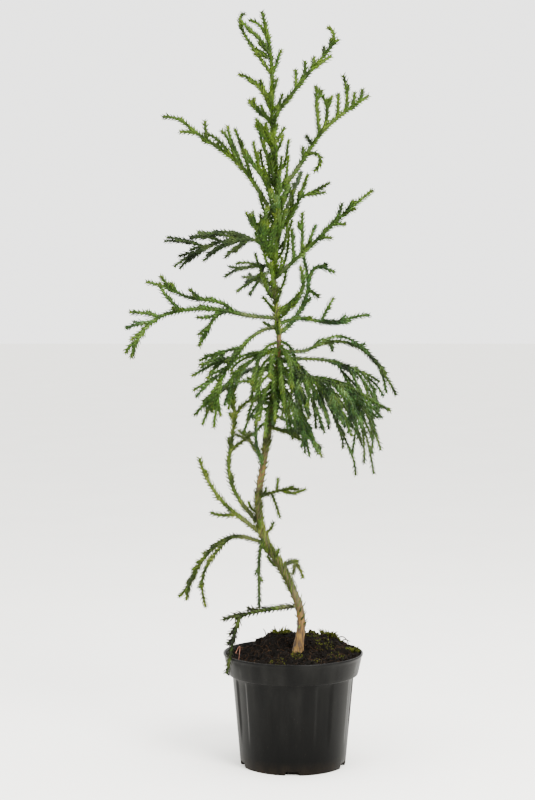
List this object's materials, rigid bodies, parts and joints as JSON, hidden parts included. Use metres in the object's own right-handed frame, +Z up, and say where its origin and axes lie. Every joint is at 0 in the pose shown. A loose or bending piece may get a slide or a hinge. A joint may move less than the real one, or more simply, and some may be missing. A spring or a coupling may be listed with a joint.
{
  "type": "young cryptomeria in a nursery pot",
  "caption": "Young cryptomeria with a leaning trunk, arching boughs and rope-like sprays of awl needles, standing in a round black nursery pot filled with soil.",
  "frame": {"origin": "centre of the pot's flat underside", "axes": "+Z up along the plant, +X to the right as the picture shows it, -Y towards the viewer"},
  "size_m": [0.3486, 0.2601, 0.9944],
  "materials": {
    "pot_plastic": "charcoal moulded plastic with a soft sheen",
    "potting_soil": "dark brown crumbly potting soil with bark bits",
    "trunk_bark": "orange-brown fibrous young bark, greener higher up",
    "bough_bark": "olive-brown young bark with needle bases",
    "needles": "short curved awl needles, mid green to blue-green, yellow-green at the tips"
  },
  "bodies": {
    "root": {"arc_inner": "needles", "arc_outer": "needles", "back_droop_bough": "bough_bark", "back_droop_spray": "needles", "back_foot": "needles", "back_high": "needles", "back_left": "needles", "back_low": "needles", "back_mid_bough": "bough_bark", "back_mid_spray": "needles", "back_right": "needles", "back_upper": "needles", "bare_arc_bough": "bough_bark", "bare_arc_spray": "needles", "front_high": "needles", "front_mid": "needles", "hanging_twig": "needles", "leader": "needles", "left_back_bough": "bough_bark", "left_back_low": "needles", "left_back_spray": "needles", "left_droop_bough": "bough_bark", "left_droop_low": "needles", "left_droop_spray": "needles", "left_inner": "needles", "left_long_bough": "bough_bark", "left_long_spray": "needles", "left_low_bough": "bough_bark", "left_low_spray": "needles", "left_small": "needles", "left_upper_bough": "bough_bark", "left_upper_spray": "needles", "lowest_bough": "bough_bark", "lowest_spray": "needles", "pot": "pot_plastic", "right_arch_bough": "bough_bark", "right_arch_spray": "needles", "right_inner": "needles", "right_low_bough": "bough_bark", "right_low_spray": "needles", "right_mid_bough": "bough_bark", "right_mid_spray": "needles", "right_near": "needles", "right_second_bough": "bough_bark", "right_second_spray": "needles", "right_small_high": "needles", "right_small_low": "needles", "right_thin": "needles", "right_third": "needles", "right_upper_bough": "bough_bark", "right_upper_spray": "needles", "soil": "potting_soil", "tall_arc_bough": "bough_bark", "tall_arc_spray": "needles", "top_left_high": "needles", "top_left_low": "needles", "top_left_mid": "needles", "trunk": "trunk_bark", "upper_right": "needles"}
  },
  "joints": []
}
